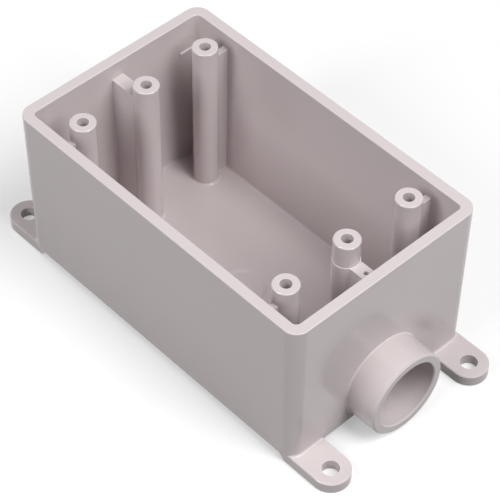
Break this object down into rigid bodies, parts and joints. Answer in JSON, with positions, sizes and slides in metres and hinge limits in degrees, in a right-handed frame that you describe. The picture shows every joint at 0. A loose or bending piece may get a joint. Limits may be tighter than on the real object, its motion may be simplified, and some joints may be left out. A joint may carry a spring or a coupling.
{
  "type": "weatherproof device box",
  "caption": "Deep rectangular open-top electrical device box moulded in one piece, with screw posts inside, a conduit socket at one end and mounting feet at the corners.",
  "frame": {"origin": "centre of the four foot holes on the mounting plane, the undersides of the feet", "axes": "+Z out of the open side, +X along the box towards the conduit socket, +Y completes the frame"},
  "size_m": [0.1452, 0.071, 0.0576],
  "materials": {
    "pale_grey_pvc": "smooth moulded rigid plastic with a soft sheen"
  },
  "bodies": {
    "root": {"box_body": "pale_grey_pvc"}
  },
  "joints": []
}
